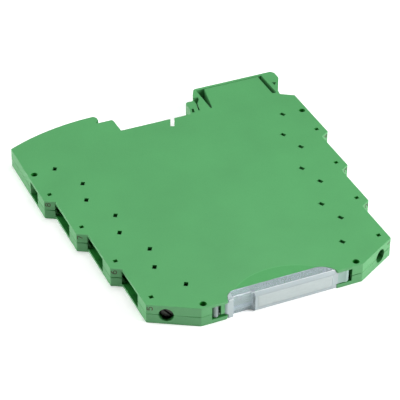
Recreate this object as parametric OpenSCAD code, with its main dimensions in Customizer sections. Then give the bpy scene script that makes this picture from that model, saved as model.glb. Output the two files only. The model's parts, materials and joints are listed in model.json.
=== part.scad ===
// Slim rail-mounted signal conditioner, lying on its side.
// Plan coordinates: x runs across the rail, y runs from the front face to the rail,
// z is the 6.2 mm thickness. The finished part is centred on x and y and rests on z = 0.

/* [Housing] */
// Width of the housing across the rail
body_w = 93.1; // [92:0.1:94]
// Depth of the housing from front face to foot
body_d = 102.5; // [102.4:0.1:103]
// Thickness of the housing, which is its width along the rail
body_t = 6.2; // [6.2:0.1:6.6]
// Thickness of the two large walls
face_wall = 0.75; // [0.6:0.05:0.8]
// Thickness of the outer side walls
side_wall = 1.2; // [1:0.1:1.4]
// Width of the straight part of the front face
front_w = 49.2; // [48:0.1:50]

/* [Terminal levels] */
// Distance from one terminal level to the next, towards the rail
level_pitch = 18.63; // [18.4:0.01:18.8]
// Outward step from one terminal level to the next
level_out = 2.97; // [2.8:0.01:3.1]
// Angle of the screw faces to the front face
face_angle = 30; // [29:0.5:31]
// Distance along the screw face from its outer corner to the screw axis
screw_inset = 5.5; // [5.3:0.1:5.7]
// Depth of the wire centre under the screw face
clamp_depth = 9.8; // [9.6:0.1:10]
// Diameter of the screwdriver bore
driver_bore_d = 4.2; // [4:0.1:4.4]
// Distance from the outer corner to the start of the wire entry
entry_start = 5.8; // [5.6:0.1:6]
// Length of the wire entry in the side face
entry_len = 6.3; // [6:0.1:6.5]

/* [Wire clamps] */
// Size of the clamping cage along the wire
cage_w = 5; // [4.6:0.1:5.1]
// Size of the clamping cage across the housing
cage_t = 4.3; // [4.2:0.05:4.35]
// Wall of the clamping cage
cage_wall = 0.7; // [0.6:0.05:0.75]
// Thickness of the threaded block of the cage
cage_block = 1.8; // [1.6:0.1:1.9]
// Thickness of the cage floor under the wire
cage_floor = 0.9; // [0.8:0.1:0.9]
// Free height for the wire when the clamp is open
wire_gap = 2.7; // [2.5:0.1:2.7]
// Travel of the cage over the full turn of the screw
clamp_travel = 2; // [1.5:0.1:2]
// Diameter of the clamp screw
screw_d = 3; // [2.9:0.1:3]
// Diameter of the screw head
head_d = 3.7; // [3.5:0.1:3.8]
// Thickness of the contact bar
bar_t = 0.9; // [0.8:0.1:0.9]
// Width of the contact bar
bar_w = 2.5; // [2.3:0.1:2.6]

/* [Rail side] */
// Width of the mounting rail
rail_w = 35; // [34.9:0.05:35]
// Depth of the two shoulders that sit on the rail
rail_seat = 96.15; // [96:0.05:96.2]
// Depth of the floor of the bus connector recess
bus_floor = 89.4; // [89.2:0.1:89.6]
// Radius of the curved base edge
base_r = 67; // [66:0.5:68]
// Thickness of the thin bar that joins the two legs of the foot
foot_bar = 0.9; // [0.8:0.1:1]

/* [Front cover] */
// Gap between the cover and the housing
cover_gap = 0.12; // [0.1:0.01:0.15]
// Wall of the clear cover
cover_wall = 0.9; // [0.8:0.1:1]
// Depth of the cover in the housing
cover_depth = 3.95; // [3.9:0.05:4]
// Position of the hinge axis across the housing
hinge_x = 19.5; // [19.4:0.1:19.5]
// Depth of the hinge axis behind the front face
hinge_y = 1.35; // [1.3:0.05:1.4]

/* [Circuit board] */
// Thickness of the circuit board
board_t = 0.8; // [0.8:0.1:1]
// Height of the underside of the circuit board
board_z = 1.05; // [1:0.05:1.1]

/* [Hidden] */
$fn = 64;
seam_z = body_t / 2;
inner_z = [face_wall, body_t - face_wall];
levels = 4;
top_z = board_z + board_t;

// Corner between screw face and side face at the front level
corner_x = body_w / 2 - (levels - 1) * level_out;
corner_y = (corner_x - front_w / 2) * tan(face_angle);
inner_rise = level_pitch - level_out * tan(face_angle);

// Centre of the wire in the clamp of the front level
clamp_x = corner_x - screw_inset * cos(face_angle) - clamp_depth * sin(face_angle);
clamp_y = corner_y - screw_inset * sin(face_angle) + clamp_depth * cos(face_angle);

// Clamp heights along the screw axis, counted from the wire centre towards the screw face
bar_a = wire_gap - 1.2;
block_a = bar_a + bar_t + 0.6;
tip_a = bar_a + bar_t + 0.05;
head_a = block_a + cage_block + clamp_travel + 0.4;
head_h = 1.1;
chamber_top = head_a + head_h + 0.15;
chamber_end = 2.4;
chamber_half = cage_w / 2 + 0.2;
board_wall = chamber_half + 0.9;
pocket_a = -chamber_end - 1;
channel_a = clamp_depth - 0.7;
throat_half = 1.75;
entry_z = [inner_z[0] + 0.1, inner_z[1] - 0.1];
channel_z = [inner_z[0] + 0.18, inner_z[1] - 0.18];

// Rail seat, with the rail just right of the middle
rail_left = -rail_w / 2 + 0.05;
rail_right = rail_w / 2 + 0.1;
recess_left = -11.9;
recess_right = 11.45;

// Foot: neck depth, left leg edge, right slot and gap between tongue and bar
neck_y = 90.1;
leg_x = 18.75;
slot_x = 41.22;
slot_w = 1.45;
bar_y = body_d - foot_bar;
tongue_y = bar_y - 0.4;

// Front edge of the board space, and where the walls of the front chambers meet it
space_front = 5.3;
corner_a = (clamp_y - board_wall * sin(face_angle) - space_front) / cos(face_angle);
space_corner_x = clamp_x - board_wall * cos(face_angle) + corner_a * sin(face_angle);

// Windows beside the cover for its hinge tongue and latch rod
window_z = [1.35, inner_z[1]];
window_x = [-21.4, hinge_x + 1.8];

// Locating pins, board posts and their plan places, and place of the status light
pin_d = 1.7;
pin_hole_d = 2;
pin_h = 0.9;
post_d = 3.2;
spigot_d = 1.2;
spigot_h = 1.5;
pin_places = [[-23.31, 1.82], [23.31, 1.82], [-44.6, 77.4], [44.6, 77.4]];
post_places = [[-13, 11.5], [13, 11.5], [-21.5, 47], [21.5, 47], [-26, 81.5], [26, 81.5]];
led_x = -11.6;

terminal_ids = [1 : 2 * levels];
screw_nodes = [for (n = terminal_ids) str("clamp_screw_", n)];
cage_nodes = [for (n = terminal_ids) str("clamp_cage_", n)];
bar_nodes = [for (n = terminal_ids) str("contact_bar_", n)];

// Corner point of a level: k counts from the front, sgn is 1 on the right and -1 on the left
function outer_corner(k, sgn) = [sgn * (corner_x + k * level_out), corner_y + k * level_pitch];
function inner_corner(k, sgn) = [sgn * (corner_x + k * level_out), corner_y + inner_rise + k * level_pitch];
// Plan point of level k at distance a along the screw and b along the wire from the wire centre
function clamp_point(k, a, b, sgn) =
    [sgn * (clamp_x + k * level_out + a * sin(face_angle) + b * cos(face_angle)),
     clamp_y + k * level_pitch - a * cos(face_angle) + b * sin(face_angle)];
function reversed(list) = [for (i = [len(list) - 1 : -1 : 0]) list[i]];
// Stepped side of the housing, from the front face to the last outer corner
function stair(sgn) = concat(
    [[sgn * front_w / 2, 0]],
    [for (k = [0 : levels - 1]) each k < levels - 1
        ? [outer_corner(k, sgn), inner_corner(k, sgn)] : [outer_corner(k, sgn)]]);
// Inner edge of the terminal chambers, which bounds the board space
function inner_stair(sgn) = [for (k = [0 : levels - 1]) each k < levels - 1
    ? [clamp_point(k, pocket_a, -board_wall, sgn), clamp_point(k, pocket_a, chamber_pitch_b, sgn)]
    : [clamp_point(k, pocket_a, -board_wall, sgn)]];
chamber_pitch_b = level_out * cos(face_angle) + level_pitch * sin(face_angle) - board_wall;
// Terminal numbers run 1 to 4 up the right side and 5 to 8 up the left side
function terminal_side(n) = n <= levels ? 1 : -1;
function terminal_level(n) = (n - 1) % levels;

module placed() { translate([0, -body_d / 2, 0]) children(); }
module prism(z0, z1) { translate([0, 0, z0]) linear_extrude(z1 - z0) children(); }
module block(low, high) { translate(low) cube(high - low); }
// Frame of one clamp: x outward along the wire, y inward along the screw, origin at the wire centre
module clamp_frame(n) {
    side = terminal_side(n);
    k = terminal_level(n);
    mirror([side < 0 ? 1 : 0, 0, 0])
        translate([clamp_x + k * level_out, clamp_y + k * level_pitch, 0])
            rotate([0, 0, face_angle]) children();
}

// Housing outline with the fixed hook on the left and the spring foot on the right
module outline() {
    polygon(concat(
        stair(1),
        [[body_w / 2, 86.4], [42.55, 88.95], [42.9, 91], [body_w / 2, 98.1], [body_w / 2, 101.4],
         [45.6, body_d], [18.75, body_d], [17.95, 102], [16.7, 99.5], [15.95, 97.45],
         [rail_right, 97.4], [rail_right, 96.1], [16.5, 95.1], [16.05, 94.3], [15.5, 92.2], [15.2, 90.5],
         [14.9, 90.3], [14.75, 90.5], [15.1, 92.3], [15.6, 94.3], [15.65, rail_seat],
         [13.4, rail_seat], [12.75, 95.85], [12.5, 95.2], [12.3, 91.9], [recess_right, bus_floor],
         [recess_left, bus_floor], [recess_left - 0.15, 95.6], [recess_left - 0.6, rail_seat],
         [rail_left, rail_seat], [rail_left, 97.25], [-16.3, 97.6], [-16.3, 98.9], [-16.7, 99.8],
         [-17.3, 100.2], [-18, 101.5], [-body_w / 2, 101.5]],
        reversed(stair(-1))));
}

// Material outside the curved base edge, at a distance inside the edge
module outside_base_arc(inset) {
    difference() {
        block([-body_w / 2 - 1, 80, -1], [-17.2, 103, body_t + 1]);
        translate([-16.5, 33.2, -2]) cylinder(r = base_r - inset, h = body_t + 4, $fn = 240);
    }
}

// Slots that free the legs of the foot from the tongue between them
module foot_slots() {
    prism(-1, body_t + 1) {
        polygon([[leg_x, neck_y + 0.3], [leg_x + 0.6, neck_y + 0.3], [21.5, tongue_y + 0.1],
                 [21.5, bar_y], [leg_x, bar_y]]);
        polygon([[leg_x, tongue_y], [slot_x + slot_w / 2, tongue_y], [slot_x + slot_w / 2, bar_y],
                 [leg_x, bar_y]]);
        polygon([[slot_x - slot_w / 2, neck_y + slot_w / 2], [slot_x + slot_w / 2, neck_y + slot_w / 2],
                 [slot_x + slot_w / 2, bar_y], [slot_x - slot_w / 2, bar_y]]);
    }
    translate([slot_x, neck_y + slot_w / 2, -1]) cylinder(d = slot_w, h = body_t + 2);
    translate([leg_x + 0.3, neck_y + 0.3, -1]) cylinder(d = 0.6, h = body_t + 2);
}

// Space for the circuit board, stepped round the terminal chambers and carried into the tongue
module board_space() {
    difference() {
        prism(inner_z[0], inner_z[1]) polygon(concat(
            [[-space_corner_x, space_front], [space_corner_x, space_front]],
            inner_stair(1),
            [[42.6, 76.4], [42.6, 79.5], [body_w / 2 - side_wall, 79.5], [body_w / 2 - side_wall, 85.7],
             [42, 87.6], [39.3, 88.4], [39.3, tongue_y - side_wall], [22.7, tongue_y - side_wall],
             [20.8, 88.6], [recess_right + side_wall, 88.6], [recess_right + side_wall, bus_floor - 1.4],
             [recess_left - side_wall, bus_floor - 1.4], [recess_left - side_wall, rail_seat - side_wall],
             [-18.6, rail_seat - side_wall], [-18.6, 101], [-body_w / 2 + side_wall, 101],
             [-body_w / 2 + side_wall, 79.5], [-42.6, 79.5], [-42.6, 76.4]],
            reversed(inner_stair(-1))));
        outside_base_arc(side_wall);
    }
}

// Chamber, screwdriver bore and wire entry of one terminal
module terminal_space(n) {
    k = terminal_level(n);
    channel_half = driver_bore_d / 2 + 0.2;
    clamp_frame(n) {
        block([-chamber_half, -chamber_top, inner_z[0]], [chamber_half, chamber_end, inner_z[1]]);
        translate([0, -chamber_top + 0.2, seam_z]) rotate([90, 0, 0]) rotate([0, 0, 90])
            cylinder(d = driver_bore_d, h = clamp_depth - chamber_top + 1.2);
        if (k > 0)
            block([-channel_half, -clamp_depth - 10, channel_z[0]], [channel_half, -channel_a, channel_z[1]]);
        block([-board_wall - 0.5, -bar_a - bar_t - 0.15, board_z + board_t - 0.1],
              [-chamber_half + 0.1, -bar_a + 0.15, top_z + bar_w + 0.15]);
    }
    side = terminal_side(n);
    mouth = outer_corner(k, side);
    prism(entry_z[0], entry_z[1]) polygon([
        clamp_point(k, throat_half, chamber_half - 0.4, side),
        [mouth[0], mouth[1] + entry_start],
        [mouth[0] + side, mouth[1] + entry_start],
        [mouth[0] + side, mouth[1] + entry_start + entry_len],
        [mouth[0], mouth[1] + entry_start + entry_len],
        clamp_point(k, -throat_half, chamber_half - 0.4, side)]);
}

// Outline of the clear cover, and of the gap left for it when grown
module cover_outline(grow) {
    r_left = 3.55 + grow;
    r_right = 5.6 + grow;
    difference() {
        union() {
            translate([-12.8, cover_depth - 3.55]) circle(r = r_left, $fn = 96);
            translate([11.2, cover_depth - 5.6]) circle(r = r_right, $fn = 128);
            translate([-12.8, -6]) square([24, cover_depth + 6 + grow]);
            translate([-12.8 - r_left, -6]) square([12, cover_depth - 3.55 + 6]);
        }
        translate([-30, -12 - (grow > 0 ? 1 : 0)]) square([60, 12]);
    }
}

// Opening for the cover with rounded ends, hinge pocket on the right and latch window on the left
module cover_space() {
    prism(-1, body_t + 1) {
        cover_outline(cover_gap);
        difference() {
            translate([-17.4, -1]) square([1.2, 1.85]);
            translate([-17.4, 1]) circle(r = 1);
        }
        difference() {
            translate([16.3, -1]) square([0.7, 1.4]);
            translate([17, 0.5]) circle(r = 0.5);
        }
    }
    block([11, -1, window_z[0]], [window_x[1], cover_depth + cover_gap, window_z[1]]);
    block([window_x[0], -1, window_z[0]], [-12, cover_depth + cover_gap, window_z[1]]);
    translate([hinge_x, hinge_y, 0.3]) cylinder(r = 0.8, h = body_t - 0.6);
}

// One half of the housing without its own small features
module half_shell(z0, z1) {
    difference() {
        prism(z0, z1) outline();
        outside_base_arc(0);
        foot_slots();
        board_space();
        for (n = terminal_ids) terminal_space(n);
        cover_space();
        led_window();
    }
}

module led_window() {
    translate([led_x, 6, seam_z]) rotate([90, 0, 0]) rotate([0, 0, 90]) cylinder(d = 1.8, h = 4);
}

// Small windows in the upper face beside every terminal
module face_windows() {
    for (sgn = [-1, 1], k = [0 : levels - 1]) {
        translate([sgn * (35.02 + k * level_out), 10.12 + k * level_pitch, seam_z - 1])
            translate([-0.6, -0.6, 0]) cube([1.2, 1.2, body_t]);
        for (p = [[29.08, 21.91], [24.12, 11.47]])
            translate([sgn * (p[0] + k * level_out), p[1] + k * level_pitch, body_t - 1.6])
                rotate([0, 0, sgn * face_angle])
                    translate([-0.6, -0.85, 0]) cube([1.2, 1.7, 3]);
    }
}

// Shallow finger scoop behind the cover
module finger_scoop() {
    translate([-0.4, -11.4, body_t - 0.52]) cylinder(r1 = 14, r2 = 20, h = 0.52, $fn = 160);
}

module upper_shell() {
    color([0.38, 0.69, 0.43]) placed() {
        difference() {
            half_shell(seam_z, body_t);
            face_windows();
            finger_scoop();
            for (p = pin_places)
                translate([p[0], p[1], seam_z - 1]) cylinder(d = pin_hole_d, h = body_t);
            // slanted slot in the floor of the bus recess
            translate([4.4, 87.3, seam_z - 1]) rotate([0, 0, -24]) translate([-0.63, -2.1, 0])
                cube([1.26, 6, body_t]);
            // moulding window in the rail shoulder and eye in the lug of the foot
            translate([13.05, 90.95, body_t - 2.4]) rotate([0, 0, -15]) translate([-0.37, -1.1, 0])
                cube([0.74, 2.2, 4]);
            prism(body_t - 2.4, body_t + 1) polygon([[43.25, 96.4], [44.6, 95.9], [43.3, 94.5]]);
        }
        // latch post of the cover window
        block([-18.75, 0.02, 2.3], [-17.65, 1.05, window_z[1] + 0.1]);
        for (p = post_places) translate([p[0], p[1], top_z]) difference() {
            cylinder(d = post_d, h = inner_z[1] - top_z + 0.1);
            translate([0, 0, -1]) cylinder(d = spigot_d + 0.3, h = spigot_h + 0.7);
        }
    }
}

module lower_shell() {
    color([0.36, 0.66, 0.41]) placed() {
        difference() {
            half_shell(0, seam_z);
            // slit for the contact tongue of the circuit board
            block([-10.2, 87, board_z - 0.15], [2.2, 90, top_z + 0.7]);
        }
        for (p = pin_places) translate([p[0], p[1], seam_z - 0.5]) cylinder(d = pin_d, h = pin_h);
        for (p = post_places) {
            translate([p[0], p[1], face_wall - 0.1]) cylinder(d = post_d, h = board_z - face_wall + 0.1);
            translate([p[0], p[1], board_z - 0.2]) cylinder(d = spigot_d, h = spigot_h);
        }
    }
}

// Clear lid, a shallow channel with a raised label carrier, finger recess, hinge tongue and latch rod
module front_cover() {
    carrier_x = -9.2;
    recess_y = 1.4;
    tongue_z = [window_z[0] + 0.1, window_z[1] - 0.1];
    latch_x = -19.95;
    latch_y = 1.1;
    color([0.72, 0.8, 0.82, 0.5]) placed() difference() {
        union() {
            difference() {
                prism(0, body_t) cover_outline(0);
                // hollow behind the front wall
                prism(cover_wall, body_t - cover_wall) polygon([
                    [-14.7, recess_y + cover_wall], [carrier_x + 1.3, recess_y + cover_wall],
                    [carrier_x + 1.3, cover_wall + 0.35], [14.2, cover_wall + 0.35],
                    [14.2, cover_depth + 1], [-14.7, cover_depth + 1]]);
                // finger recess between the end nub and the sloped end of the carrier
                prism(-1, body_t + 1) polygon([
                    [-17, -1], [-17, 0.3], [-14.9, 0.3], [-14.45, recess_y], [carrier_x, recess_y],
                    [carrier_x + 0.58, 0.1], [carrier_x + 0.85, -0.1], [carrier_x + 0.85, -1]]);
                // sloped edges of the label carrier
                translate([carrier_x - 1, 0, body_t - 0.9]) rotate([45, 0, 0]) translate([0, -2, 0])
                    cube([30, 4, 2]);
                translate([carrier_x - 1, 0, 0.4]) rotate([-45, 0, 0]) translate([0, -2, -2])
                    cube([30, 4, 2]);
            }
            block([13.5, 0.15, tongue_z[0]], [hinge_x, hinge_y + 1.2, tongue_z[1]]);
            translate([hinge_x, hinge_y, tongue_z[0]]) cylinder(r = 1.3, h = tongue_z[1] - tongue_z[0]);
            translate([hinge_x, hinge_y, 0.35]) cylinder(r = 0.75, h = body_t - 0.7);
            block([latch_x, latch_y - 0.1, tongue_z[0]], [-15.6, latch_y + 1.1, tongue_z[0] + 0.7]);
            translate([latch_x, latch_y, tongue_z[0] + 0.05]) cylinder(r = 0.85, h = 3.7);
            // rounded root of the latch arm in the window
            block([-16.45, 0.3, tongue_z[0]], [-15.6, 2.2, tongue_z[1]]);
            translate([-16.45, 1.25, tongue_z[0]]) cylinder(r = 0.95, h = tongue_z[1] - tongue_z[0]);
        }
        label_space(0.02);
    }
}

module label_space(gap) {
    block([-7.6 - gap, -1, 1.25 - gap], [15.2 + gap, 0.25, 4.95 + gap]);
}

module marking_label() {
    color([0.93, 0.94, 0.93]) placed() block([-7.6, 0.03, 1.25], [15.2, 0.25, 4.95]);
}

// Board outline: tapered sides with ears at the front terminals, and a contact tongue into the bus recess
module circuit_board() {
    edge_gap = 0.6;
    rear_y = 86.9;
    ear_a = corner_a - 0.6;
    ear = clamp_point(0, ear_a, -board_wall - edge_gap, 1);
    waist = clamp_point(0, pocket_a, -board_wall - edge_gap, 1);
    rear_x = waist[0] + (rear_y - waist[1]) * level_out / level_pitch;
    color([0.1, 0.35, 0.2]) placed() difference() {
        prism(board_z, top_z) polygon([
            [-ear[0], ear[1]], [ear[0], ear[1]], waist, [rear_x, rear_y], [2, rear_y],
            [2, bus_floor - 0.2], [-10, bus_floor - 0.2], [-10, rear_y], [-rear_x, rear_y],
            [-waist[0], waist[1]]]);
        for (p = post_places) translate([p[0], p[1], 0]) cylinder(d = 1.4, h = body_t);
    }
}

// Gull-wing package: body with rows of leads on two sides
module chip_package(at, size, leads, pitch) {
    translate([at[0], at[1], top_z]) {
        translate([-size[0] / 2, -size[1] / 2, 0.1]) cube([size[0], size[1], size[2]]);
        for (i = [0 : leads - 1], sgn = [-1, 1])
            translate([(i - (leads - 1) / 2) * pitch - 0.2, sgn > 0 ? size[1] / 2 - 0.2 : -size[1] / 2 - 0.9, 0])
                cube([0.4, 1.1, 0.3]);
    }
}

// Two-pole chip component
module chip_part(at, size, turned) {
    translate([at[0], at[1], top_z]) rotate([0, 0, turned ? 90 : 0])
        translate([-size[0] / 2, -size[1] / 2, 0]) cube(size);
}

module transformer_core() {
    color([0.25, 0.25, 0.27]) placed() translate([0, 45, top_z]) {
        difference() {
            translate([-6.5, -5, 0]) cube([13, 10, 3.3]);
            for (sgn = [-1, 1]) translate([sgn * 3.7 - 1.5, -6, 0.7]) cube([3, 12, 1.9]);
        }
    }
}

module transformer_winding() {
    color([0.72, 0.42, 0.2]) placed() translate([0, 45, top_z + 0.8]) difference() {
        union() {
            translate([-4.9, -5.2, 0]) cube([9.8, 10.4, 1.7]);
            for (sgn = [-1, 1]) translate([0, sgn * 5.2, 0]) cylinder(r = 4.9, h = 1.7);
        }
        translate([-2.35, -6, -1]) cube([4.7, 12, 4]);
    }
}

module power_inductor() {
    color([0.3, 0.3, 0.32]) placed() translate([14, 62, top_z]) {
        translate([-3, -3, 0]) cube([6, 6, 0.5]);
        cylinder(d = 5.6, h = 2.8);
    }
}

module amplifier_ics() {
    color([0.12, 0.12, 0.13]) placed() {
        chip_package([-11, 26, 0], [5, 4.4, 1.2], 4, 1.27);
        chip_package([9, 27, 0], [6.4, 4.4, 1.2], 5, 1.27);
        chip_package([-12, 68, 0], [5, 4.4, 1.2], 4, 1.27);
    }
}

module optocouplers() {
    color([0.1, 0.1, 0.11]) placed() {
        chip_package([-15, 40, 0], [5, 4.6, 2.1], 4, 1.27);
        chip_package([15, 40, 0], [5, 4.6, 2.1], 4, 1.27);
    }
}

module tantalum_capacitors() {
    color([0.85, 0.6, 0.2]) placed()
        for (p = [[-2, 18], [4, 18], [-4, 61], [2, 61], [-20, 76], [-14, 80]])
            chip_part(p, [3.5, 2.8, 1.9], false);
}

module ceramic_capacitors() {
    color([0.75, 0.66, 0.52]) placed()
        for (p = [for (i = [0 : 5]) [-10 + 4 * i, 33.5], for (i = [0 : 4]) [-8 + 4 * i, 72.5]])
            chip_part(p, [1.6, 0.8, 0.8], true);
}

module chip_resistors() {
    color([0.15, 0.15, 0.17]) placed()
        for (p = [for (i = [0 : 5]) [-8 + 3 * i, 12.5], for (i = [0 : 6]) [-12 + 4 * i, 55.5]])
            chip_part(p, [1.6, 0.8, 0.45], true);
}

module switching_transistors() {
    color([0.12, 0.12, 0.12]) placed()
        for (sgn = [-1, 1]) translate([sgn * 5, 79.5, top_z]) {
            translate([-3.2, -1.75, 0.05]) cube([6.4, 3.5, 1.6]);
            translate([-1.5, 1.5, 0]) cube([3, 1.9, 0.3]);
            for (i = [-1 : 1]) translate([i * 2.3 - 0.35, -3.5, 0]) cube([0.7, 2, 0.3]);
        }
}

module status_led() {
    color([0.6, 0.95, 0.6]) placed() translate([led_x, 7.5, top_z]) {
        translate([-0.9, -0.1, 0]) cube([1.8, 1.6, 0.5]);
        translate([0, 0, 1.25]) rotate([90, 0, 0]) cylinder(d = 1.2, h = 1.6);
        translate([-0.6, -0.1, 0.3]) cube([1.2, 1.2, 1.3]);
    }
}

module bus_contacts() {
    color([0.9, 0.75, 0.35]) placed()
        for (i = [0 : 4]) block([-9.4 + 2.4 * i, 84.5, top_z], [-8 + 2.4 * i, bus_floor - 0.4, top_z + 0.1]);
}

// Slotted clamp screw with its tip on the contact bar
module clamp_screw(n) {
    color([0.7, 0.72, 0.74]) placed() clamp_frame(n) difference() {
        union() {
            translate([0, -tip_a, seam_z]) rotate([90, 0, 0]) cylinder(d = screw_d, h = head_a - tip_a + 0.1);
            translate([0, -head_a, seam_z]) rotate([90, 0, 0]) cylinder(d = head_d, h = head_h);
        }
        block([-head_d, -head_a - head_h - 1, seam_z - 0.3], [head_d, -head_a - head_h + 0.6, seam_z + 0.3]);
    }
}

// Rising cage: threaded block over the contact bar, floor under the wire
module clamp_cage(n) {
    floor_a = -(wire_gap - bar_a);
    low_z = seam_z - cage_t / 2;
    high_z = seam_z + cage_t / 2;
    color([0.78, 0.78, 0.76]) placed() clamp_frame(n) difference() {
        block([-cage_w / 2, -block_a - cage_block, low_z], [cage_w / 2, -floor_a + cage_floor, high_z]);
        block([-cage_w, -block_a, low_z + cage_wall], [cage_w, -floor_a, high_z - cage_wall]);
        // threaded bore, which also grooves the side walls down to the reach of the screw's tip
        translate([0, -tip_a + clamp_travel + 0.25, seam_z]) rotate([90, 0, 0])
            cylinder(d = screw_d + 0.12, h = block_a + cage_block + 1);
    }
}

// Contact bar from the clamp to the circuit board
module contact_bar(n) {
    color([0.8, 0.76, 0.62]) placed() clamp_frame(n)
        block([-10, -bar_a - bar_t, top_z], [cage_w / 2 - 0.3, -bar_a, top_z + bar_w]);
}

upper_shell();
lower_shell();
front_cover();
marking_label();
circuit_board();
transformer_core();
transformer_winding();
power_inductor();
amplifier_ics();
optocouplers();
tantalum_capacitors();
ceramic_capacitors();
chip_resistors();
switching_transistors();
status_led();
bus_contacts();
for (n = terminal_ids) clamp_screw(n);
for (n = terminal_ids) clamp_cage(n);
for (n = terminal_ids) contact_bar(n);
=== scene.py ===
"""Looks of a slim rail-mounted signal conditioner, built round its packed CAD model."""
import json
import math

import bmesh
import bpy
import numpy as np
from bpy.props import FloatProperty, FloatVectorProperty, IntProperty, PointerProperty
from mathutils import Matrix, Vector
from mathutils.bvhtree import BVHTree


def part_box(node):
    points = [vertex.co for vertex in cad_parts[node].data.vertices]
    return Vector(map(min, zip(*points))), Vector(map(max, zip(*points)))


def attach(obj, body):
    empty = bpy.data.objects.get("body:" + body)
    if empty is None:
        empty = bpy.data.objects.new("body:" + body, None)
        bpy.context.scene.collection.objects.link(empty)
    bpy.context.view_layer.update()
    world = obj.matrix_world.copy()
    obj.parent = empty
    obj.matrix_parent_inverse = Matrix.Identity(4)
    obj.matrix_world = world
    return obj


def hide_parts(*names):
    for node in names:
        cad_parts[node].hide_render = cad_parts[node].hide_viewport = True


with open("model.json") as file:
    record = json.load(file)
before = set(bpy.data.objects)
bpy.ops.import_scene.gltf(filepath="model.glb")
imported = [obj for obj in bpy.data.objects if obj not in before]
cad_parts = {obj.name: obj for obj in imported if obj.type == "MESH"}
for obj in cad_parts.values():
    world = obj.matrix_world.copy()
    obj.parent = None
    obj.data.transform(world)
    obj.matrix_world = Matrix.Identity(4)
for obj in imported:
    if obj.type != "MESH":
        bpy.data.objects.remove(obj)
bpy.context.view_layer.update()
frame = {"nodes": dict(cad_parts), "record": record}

bl_info = {
    "name": "Rail module looks",
    "version": (1, 0, 0),
    "blender": (4, 5, 0),
    "location": "3D View > Sidebar > Rail module",
    "description": "Dresses the CAD model of a slim rail-mounted signal conditioner",
    "category": "Add Mesh",
}

MM = 0.001
TERMINALS = range(1, 9)
JOINTS = {joint["name"]: joint for joint in frame["record"]["behaviour"]["joints"]}

# Every place and size below is in millimetres. Heights along a screw axis count from the wire's centre.
FACE_HEIGHT = 9.8
TIP_HEIGHT = 2.45
HEAD_HEIGHT = 7.2
HEAD_THICKNESS = 1.1
# Distance along the screw face from its outer corner to the screw axis
SCREW_INSET = 5.5
BOARD_TOP = 1.85
SEAM = 3.1
THICKNESS = 6.2
HALF_DEPTH = 51.25
# Centre and radius of the finger scoop's arc, which also bounds its painted shade and painted rim highlight
SCOOP = (-0.4, -11.4 - HALF_DEPTH), 20
# Behind this stretch there are no terminals, so walls there get no painted shade
LAST_TERMINAL = (39.2, 38.2)
# Where the zones of the cover's plastic fade in along its length
COVER_ZONES = {"carrier": (-8.6, -8.3), "nub": (-14.7, -15), "rod": (-18.4, -18.7), "painted_shade_knuckle": (16.8, 17.2)}
# Where the milky front layer of the label carrier fades in, counted from the front
FRONT_LAYER = (1.0, 0.6)
# Distance of the cover's milky rim from the seam, and half its width; the rim also gets a painted highlight
COVER_RIM = (3.04, 0.04)


# Shapes worked out as arrays

def grid_faces(rows, columns, wrap_columns=True, first=0):
    """Quads between neighbouring points of a grid that is stored row by row."""
    row = np.arange(rows - 1)[:, None] * columns
    column = np.arange(columns if wrap_columns else columns - 1)
    after = (column + 1) % columns
    quads = np.stack([row + column, row + after, row + columns + after, row + columns + column], axis=-1)
    return quads.reshape(-1, 4) + first


def tube_part(points, capped=True):
    """Vertices and faces of a surface whose rows are closed loops, with a flat face over each open end."""
    rows, columns = points.shape[:2]
    faces = grid_faces(rows, columns).tolist()
    if capped:
        faces.append(list(range(columns))[::-1])
        faces.append(list(range((rows - 1) * columns, rows * columns)))
    return points.reshape(-1, 3), faces


def revolved(radii, heights, count):
    """Points of a turned shape: the profile's radius at each height, carried round the third axis."""
    angle = np.linspace(0, 2 * np.pi, count, endpoint=False)
    radii = np.broadcast_to(np.asarray(radii, float).reshape(len(heights), -1), (len(heights), count))
    height = np.broadcast_to(np.asarray(heights, float)[:, None], radii.shape)
    return np.stack([radii * np.cos(angle), radii * np.sin(angle), height], axis=-1)


def rounded_plate(half_a, half_b, radius, rings, steps=6):
    """A plate of stacked rounded rectangles, each with an inset from the outline and a height.

    A point is the centre of its corner plus radius times direction.
    """
    inset, height = np.array(rings, float).T[..., None]
    radius = np.maximum(radius - inset, 0.02)
    angle = (np.arange(4)[:, None] * np.pi / 2 + np.linspace(0, np.pi / 2, steps)).ravel()
    a = np.repeat([1, -1, -1, 1], steps) * (half_a - inset - radius) + radius * np.cos(angle)
    b = np.repeat([1, 1, -1, -1], steps) * (half_b - inset - radius) + radius * np.sin(angle)
    return np.stack([a, b, np.broadcast_to(height, a.shape)], axis=-1)


def swept_ribbon(path, width, low, high):
    """A flat stroke along a path: each point is moved half a width to both sides, at two heights."""
    along = np.gradient(path, axis=0)
    along /= np.linalg.norm(along, axis=1)[:, None]
    across = np.column_stack([-along[:, 1], along[:, 0]]) * width / 2
    flat = np.stack([path + across, path - across, path - across, path + across], axis=1)
    height = np.broadcast_to(np.array([low, low, high, high]), flat.shape[:2])
    return np.concatenate([flat, height[..., None]], axis=-1)


def wire_round(path, normal, radius, count=6):
    """A round wire: path point plus radius times a direction that turns from normal to third axis."""
    angle = np.linspace(0, 2 * np.pi, count, endpoint=False)[:, None]
    return path[:, None] + radius * (np.cos(angle) * normal[:, None] + np.sin(angle) * [0, 0, 1])


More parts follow.
